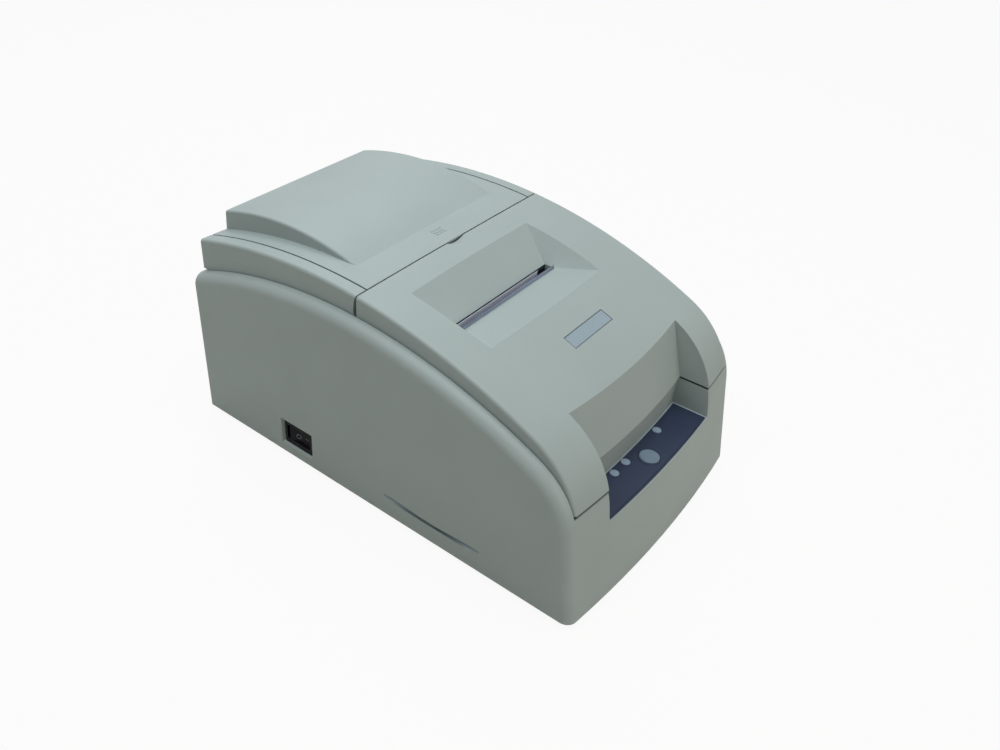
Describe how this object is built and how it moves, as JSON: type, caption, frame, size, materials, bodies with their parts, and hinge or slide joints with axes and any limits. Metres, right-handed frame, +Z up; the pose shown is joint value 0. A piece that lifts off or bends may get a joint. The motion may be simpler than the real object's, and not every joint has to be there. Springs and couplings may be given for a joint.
{
  "type": "receipt printer",
  "caption": "Desktop impact receipt printer with a bowed grey case, hinged front cover with paper exit slot, raised roll lid, control panel and side power rocker.",
  "frame": {"origin": "on the desk under the middle of the case", "axes": "+X to the printer's right, front towards -Y, +Z up"},
  "size_m": [0.16, 0.248, 0.1256],
  "materials": {
    "case_plastic": "fine matt texture, cool light grey",
    "name_plate": "smooth bare plate",
    "label_film": "satin printed film",
    "button_plastic": "satin",
    "lens_plastic": "clear-tinted lens",
    "black_plastic": "satin black",
    "rubber": "dull black rubber",
    "steel": "bright steel",
    "plated_sheet": "zinc-plated sheet",
    "screw_steel": "zinc-plated screws",
    "head_alloy": "cast and blackened fins",
    "nylon": "natural nylon",
    "paper": "plain white paper",
    "board_core": "solder-mask green",
    "roll_core": "grey-brown paperboard",
    "ribbon_fabric": "inked nylon ribbon"
  },
  "bodies": {
    "base": {"lower_case": "case_plastic", "upper_case": "case_plastic", "panel_label": "label_film", "indicator_lenses": "lens_plastic", "switch_housing": "black_plastic", "ribbon_cassette": "black_plastic", "drawer_socket": "black_plastic", "power_inlet": "black_plastic", "tact_switch": "black_plastic", "board_components": "black_plastic", "rubber_feet": "rubber", "timing_belt": "rubber", "roll_cover_pins": "steel", "carriage_shaft": "steel", "guide_rail": "steel", "platen": "steel", "idler_stud": "steel", "interface_connector": "steel", "mech_base": "plated_sheet", "side_plate_left": "plated_sheet", "side_plate_right": "plated_sheet", "paper_chute": "plated_sheet", "feed_motor": "plated_sheet", "carriage_motor": "plated_sheet", "mech_screws": "screw_steel", "board_screws": "screw_steel", "panel_screws": "screw_steel", "case_screws": "screw_steel", "paper_web": "paper", "main_board": "board_core", "panel_board": "board_core", "ribbon": "ribbon_fabric"},
    "front_cover": {"front_cover": "case_plastic", "name_plate": "name_plate", "tear_bar": "steel"},
    "roll_cover": {"roll_cover": "case_plastic"},
    "feed_button": {"feed_button": "button_plastic"},
    "rocker": {"rocker": "black_plastic"},
    "carriage": {"carriage": "black_plastic", "print_head": "head_alloy"},
    "drive_pulley": {"drive_pulley": "nylon"},
    "idler_pulley": {"idler_pulley": "nylon"},
    "ribbon_knob": {"ribbon_knob": "black_plastic"},
    "feed_drive": {"feed_shaft": "steel", "feed_rollers": "rubber", "feed_gear": "nylon"},
    "motor_pinion": {"motor_pinion": "nylon"},
    "pinch": {"pinch_shaft": "steel", "pinch_rollers": "rubber"},
    "paper_roll": {"paper_roll": "paper", "roll_core": "roll_core"}
  },
  "joints": [
    {"name": "front_cover_hinge", "type": "hinge", "parent": "base", "child": "front_cover", "pos_m": [0, -0.0005, 0.1116], "axis": [-1, 0, 0], "range_deg": [0, 70]},
    {"name": "roll_cover_hinge", "type": "hinge", "parent": "base", "child": "roll_cover", "pos_m": [0, 0.12, 0.1045], "axis": [-1, 0, 0], "range_deg": [0, 85]},
    {"name": "feed_button_press", "type": "slide", "parent": "base", "child": "feed_button", "axis": [0, 0, -1], "range_m": [0, 0.001], "stiffness_N_per_m": 400},
    {"name": "power_rocker", "type": "hinge", "parent": "base", "child": "rocker", "pos_m": [-0.0735, 0.0526, 0.018], "axis": [0, 0, -1], "range_deg": [0, 14]},
    {"name": "carriage_slide", "type": "slide", "parent": "base", "child": "carriage", "axis": [1, 0, 0], "range_m": [-0.03, 0.03]},
    {"name": "drive_pulley_turn", "type": "hinge", "parent": "base", "child": "drive_pulley", "pos_m": [-0.0445, -0.076, 0.0485], "axis": [0, 0, 1], "range_deg": [-310, 310]},
    {"name": "idler_pulley_turn", "type": "hinge", "parent": "base", "child": "idler_pulley", "pos_m": [0.0445, -0.076, 0.0485], "axis": [0, 0, 1], "range_deg": [-310, 310]},
    {"name": "ribbon_knob_turn", "type": "hinge", "parent": "base", "child": "ribbon_knob", "pos_m": [0.04, -0.0715, 0.085], "axis": [0, 0, 1], "continuous": true},
    {"name": "feed_turn", "type": "hinge", "parent": "base", "child": "feed_drive", "pos_m": [0, -0.002, 0.0386], "axis": [1, 0, 0], "continuous": true},
    {"name": "motor_pinion_turn", "type": "hinge", "parent": "base", "child": "motor_pinion", "pos_m": [0.065, 0.02132, 0.04802], "axis": [1, 0, 0], "continuous": true},
    {"name": "pinch_turn", "type": "hinge", "parent": "base", "child": "pinch", "pos_m": [0, -0.002, 0.0504], "axis": [1, 0, 0], "continuous": true},
    {"name": "paper_roll_turn", "type": "hinge", "parent": "base", "child": "paper_roll", "pos_m": [-0.01035, 0.072, 0.0763], "axis": [1, 0, 0], "continuous": true}
  ],
  "couplings": [
    {"joint": "drive_pulley_turn", "follows": "carriage_slide", "rad_per_m": -175.44},
    {"joint": "idler_pulley_turn", "follows": "carriage_slide", "rad_per_m": -175.44},
    {"joint": "motor_pinion_turn", "follows": "feed_turn", "ratio": -2.5714},
    {"joint": "pinch_turn", "follows": "feed_turn", "ratio": -1.75},
    {"joint": "paper_roll_turn", "follows": "feed_turn", "ratio": -0.18919}
  ]
}
